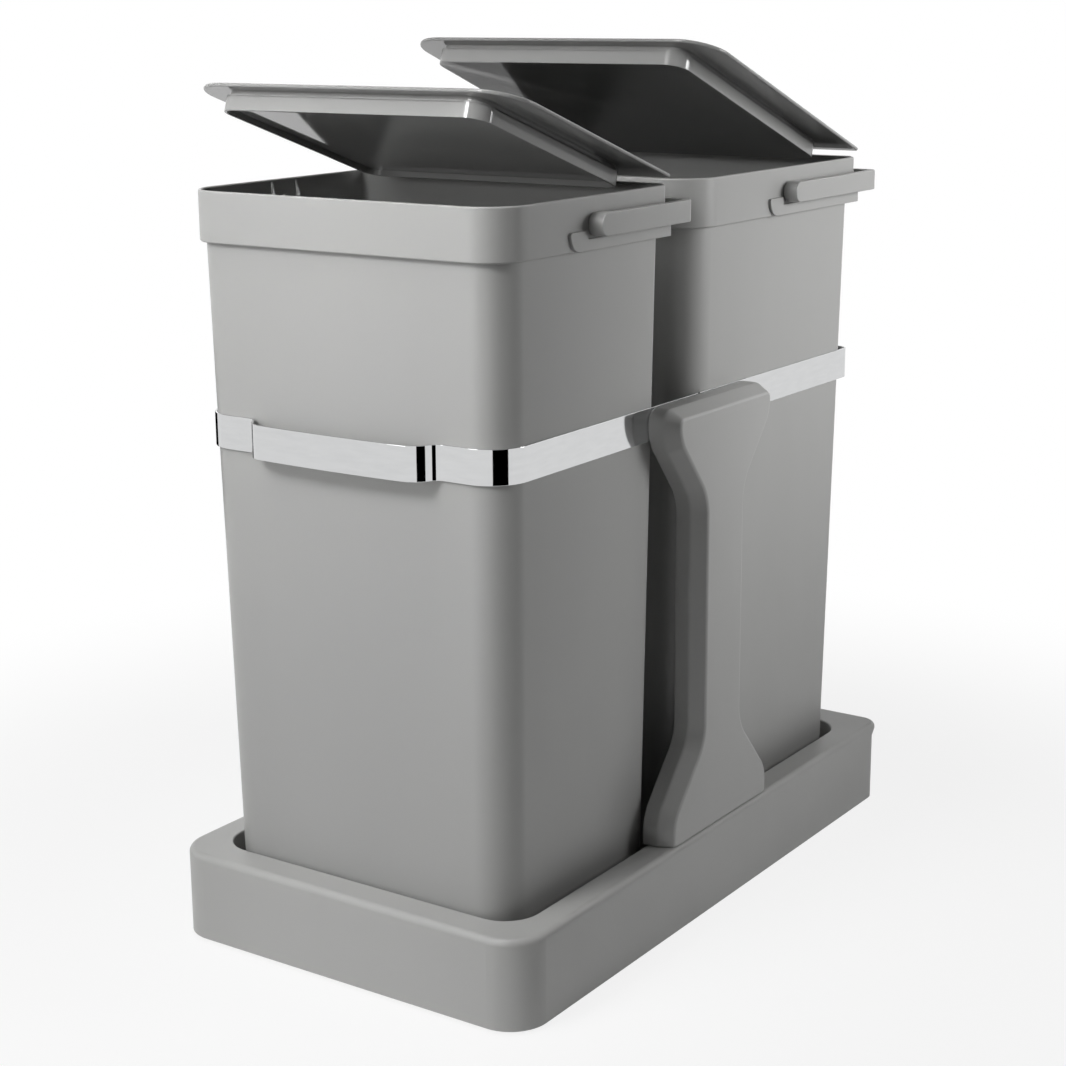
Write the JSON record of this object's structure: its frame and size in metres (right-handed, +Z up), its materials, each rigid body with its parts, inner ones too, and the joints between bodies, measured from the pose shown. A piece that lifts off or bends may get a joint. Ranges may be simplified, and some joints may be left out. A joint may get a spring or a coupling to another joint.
{
  "type": "pull-out waste bin unit",
  "caption": "Floor-mounted pull-out kitchen waste unit: a moulded tray on telescopic slides, lidded bins with carrying bails, a chrome retaining band with a pull, and side uprights.",
  "frame": {"origin": "middle of the four floor screw holes, on the cabinet floor", "axes": "+X right, +Y to the back of the cabinet, +Z up; the unit pulls out towards -Y"},
  "size_m": [0.26, 0.454, 0.5374],
  "materials": {
    "tray_plastic": "fine satin texture",
    "upright_plastic": "fine satin texture",
    "bin_plastic": "fine satin texture",
    "lid_plastic": "satin",
    "bail_plastic": "satin",
    "chrome": "polished",
    "zinc_steel": "zinc plated",
    "fastener_steel": "zinc plated",
    "ball_steel": "polished",
    "rubber": "matt"
  },
  "bodies": {
    "runner_base": {"floor_rail_left": "zinc_steel", "floor_rail_right": "zinc_steel", "floor_tie_front": "zinc_steel", "floor_tie_rear": "zinc_steel", "tie_rivets": "fastener_steel", "outer_slide_left": "zinc_steel", "outer_slide_right": "zinc_steel", "slide_rivets": "fastener_steel", "slide_bumpers": "rubber"},
    "outer_ball_cages": {"outer_cage_left": "zinc_steel", "outer_cage_right": "zinc_steel", "outer_balls_left": "ball_steel", "outer_balls_right": "ball_steel"},
    "middle_slides": {"middle_slide_left": "zinc_steel", "middle_slide_right": "zinc_steel"},
    "inner_ball_cages": {"inner_cage_left": "zinc_steel", "inner_cage_right": "zinc_steel", "inner_balls_left": "ball_steel", "inner_balls_right": "ball_steel"},
    "carriage": {"base_tray": "tray_plastic", "inner_slide_left": "zinc_steel", "inner_slide_right": "zinc_steel", "slide_screws": "fastener_steel", "upright_left": "upright_plastic", "upright_right": "upright_plastic", "upright_bracket_left": "zinc_steel", "upright_bracket_right": "zinc_steel", "bracket_screws": "fastener_steel", "front_band": "chrome", "rear_band": "chrome", "band_rivets": "fastener_steel"},
    "front_bin": {"front_bin": "bin_plastic", "front_hinge_pins": "ball_steel"},
    "rear_bin": {"rear_bin": "bin_plastic", "rear_hinge_pins": "ball_steel"},
    "front_lid": {"front_lid": "lid_plastic"},
    "rear_lid": {"rear_lid": "lid_plastic"},
    "front_bail": {"front_bail": "bail_plastic", "front_bail_pins": "bail_plastic"},
    "rear_bail": {"rear_bail": "bail_plastic", "rear_bail_pins": "bail_plastic"}
  },
  "joints": [
    {"name": "pull_out", "type": "slide", "parent": "runner_base", "child": "carriage", "axis": [0, -1, 0], "range_m": [0, 0.4]},
    {"name": "middle_slide_run", "type": "slide", "parent": "runner_base", "child": "middle_slides", "axis": [0, -1, 0], "range_m": [0, 0.2]},
    {"name": "outer_cage_run", "type": "slide", "parent": "runner_base", "child": "outer_ball_cages", "axis": [0, -1, 0], "range_m": [0, 0.1]},
    {"name": "inner_cage_run", "type": "slide", "parent": "runner_base", "child": "inner_ball_cages", "axis": [0, -1, 0], "range_m": [0, 0.3]},
    {"name": "front_bin_lift", "type": "slide", "parent": "carriage", "child": "front_bin", "axis": [0, 0, 1], "range_m": [0, 0.34]},
    {"name": "front_lid_hinge", "type": "hinge", "parent": "front_bin", "child": "front_lid", "pos_m": [0, -0.043, 0.4618], "axis": [-1, 0, 0], "range_deg": [-19.8, 81.3]},
    {"name": "front_bail_swing", "type": "hinge", "parent": "front_bin", "child": "front_bail", "pos_m": [0, -0.123, 0.4417], "axis": [-1, 0, 0], "range_deg": [-90, 0]},
    {"name": "rear_bin_lift", "type": "slide", "parent": "carriage", "child": "rear_bin", "axis": [0, 0, 1], "range_m": [0, 0.34]},
    {"name": "rear_lid_hinge", "type": "hinge", "parent": "rear_bin", "child": "rear_lid", "pos_m": [0, 0.201, 0.4618], "axis": [-1, 0, 0], "range_deg": [-21.35, 79.5]},
    {"name": "rear_bail_swing", "type": "hinge", "parent": "rear_bin", "child": "rear_bail", "pos_m": [0, 0.103, 0.4417], "axis": [-1, 0, 0], "range_deg": [-90, 0]}
  ],
  "couplings": [
    {"joint": "middle_slide_run", "follows": "pull_out", "ratio": 0.5},
    {"joint": "outer_cage_run", "follows": "pull_out", "ratio": 0.25},
    {"joint": "inner_cage_run", "follows": "pull_out", "ratio": 0.75}
  ]
}
